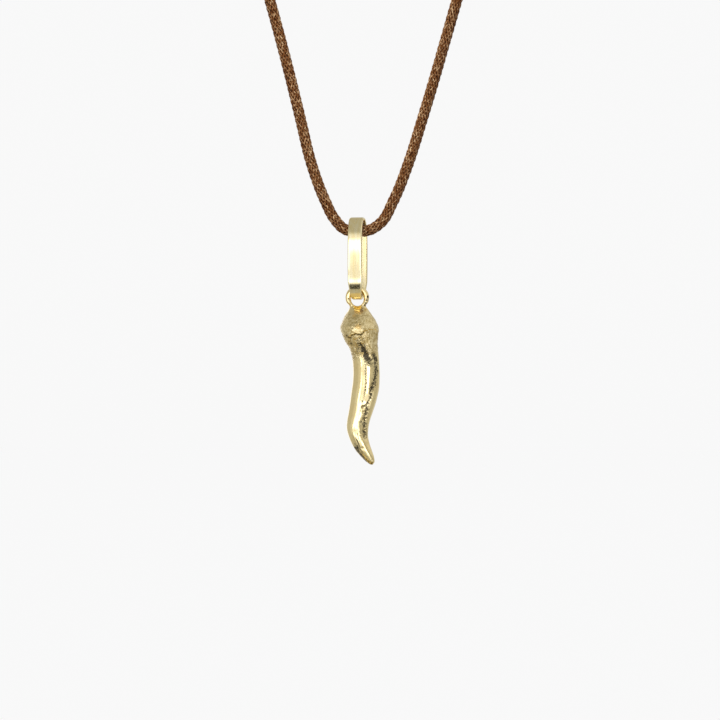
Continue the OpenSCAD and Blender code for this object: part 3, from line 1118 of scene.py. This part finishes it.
# The room that the metal mirrors, in soft-edged panes, the first in front of the next: from and
# to which azimuth from the front, from and to which elevation, both in degrees, how soft the
# upright and the level edges are, and how bright the pane is
ROOM_PANES = [
    ((-7, 6), (-8.2, -2.4), 2, 1, 0.16),
    ((7, 36), (-9.0, -1.2), 3, 1.5, 3.2),
    ((8, 28), (-2, 12), 4, 1.5, 1.2),
    ((-44, -32), (-1.8, 6), 2.5, 0.8, 2.4),
    ((-22, 5), (-1.8, 6), 1.5, 0.8, 2.4),
    ((-38, -9), (3.0, 9.8), 5, 1.6, 2.6),
    ((-36, -18), (-27, -15.4), 2, 1.2, 0.06),
    ((-50, -2), (-27, -14.5), 4, 2, 0.86),
    ((-46, -32), (-15, -6.4), 2.5, 1, 2.4),
    ((-22, -2), (-15, -6.4), 2, 1, 2.4),
    ((-42, -9), (-15.6, -9.5), 5, 1.6, 2.2),
    ((-50, -9), (-9, 17.2), 4, 3, 0.94),
    ((-72, -50), (-15, 17.2), 8, 3, 0.72),
    ((-6, 62), (-21, -9), 7, 2.5, 1.0),
    ((45, 125), (10, 55), 12, 8, 0.78),
    ((-6, 36), (-11, -5), 7, 2, 0.60),
    ((-16, 34), (16, 38), 7, 7, 0.80),
    ((-6, 80), (22, 75), 12, 12, 0.62),
    ((36, 75), (-3, 14), 6, 1.5, 0.44),
    ((36, 75), (-11, -3), 6, 1.5, 0.60),
    ((-130, -70), (-30, 40), 10, 10, 0.57),
    ((125, 170), (-35, 40), 10, 10, 0.68),
    ((-176, -140), (-40, 35), 6, 6, 1.2),
]
# How bright the rest of the room is, and how much brighter to the right
ROOM_PALE = 0.47
ROOM_SLOPE = 0.04
# Above one brightness the light is cool, and below one elevation it is warm and brighter: where
# that sets in and how softly, and what it does to brightness, green and blue
ROOM_COOL = (0.8, 0.3)
COOL_GREEN, COOL_BLUE = 0.02, 0.16
ROOM_WARM = (-42, 4)
WARM_GLOW, WARM_GREEN, WARM_BLUE = 0.2, 0.18, 0.54


def room():
    """A world whose panes fade into each other."""
    world = bpy.data.worlds.new("room")
    world.use_nodes = True
    world.cycles.sampling_method = "NONE"
    graph = Graph(world.node_tree)
    way = graph.add("ShaderNodeSeparateXYZ", inputs={0: graph.add("ShaderNodeTexCoord")})
    azimuth = way.maths("ARCTAN2", way, 0 - way["Y"]) * math.degrees(1)
    elevation = way["Z"].maths("ARCSINE", way["Z"]) * math.degrees(1)

    def past(value, edge, soft):
        return graph.add(
            "ShaderNodeMapRange", {"interpolation_type": "SMOOTHSTEP"},
            {"Value": value, "From Min": edge - soft, "From Max": edge + soft},
        )

    def within(value, edges, soft):
        return past(value, edges[0], soft), 1 - past(value, edges[1], soft)

    level = way * ROOM_SLOPE + ROOM_PALE
    for azimuths, elevations, soft, soft_up, glow in reversed(ROOM_PANES):
        left, right = within(azimuth, azimuths, soft)
        low, high = within(elevation, elevations, soft_up)
        level = level + left * right * low * high * (glow - level)
    cool = past(level, *ROOM_COOL)
    warm = 1 - past(elevation, *ROOM_WARM)
    level = level + warm * WARM_GLOW
    green = 1 + cool * COOL_GREEN - warm * WARM_GREEN
    blue = 1 + cool * COOL_BLUE - warm * WARM_BLUE
    tint = graph.add("ShaderNodeCombineColor", inputs={"Red": 1.0, "Green": green, "Blue": blue})
    back = world.node_tree.nodes["Background"]
    world.node_tree.links.new(level.socket, back.inputs["Strength"])
    world.node_tree.links.new(tint.socket, back.inputs["Color"])
    return world


bpy.context.scene.world = room()

# One soft lamp from the upper left models the cord, and the metal doesn't mirror it
LAMP_SIDE = 0.5
LAMP_POWER = 3.0
LAMP_PLACE = (-0.35, -0.5, 0.15)
LAMP_TILT, LAMP_TURN = math.radians(58), math.radians(-35)

soft_lamp = bpy.data.lights.new("lamp", "AREA")
soft_lamp.shape = "SQUARE"
soft_lamp.size = LAMP_SIDE
soft_lamp.energy = LAMP_POWER
lamp = link(bpy.data.objects.new("lamp", soft_lamp))
lamp.location = LAMP_PLACE
lamp.rotation_euler = (LAMP_TILT, 0, LAMP_TURN)
lamp.visible_camera = False
lamp.visible_glossy = False
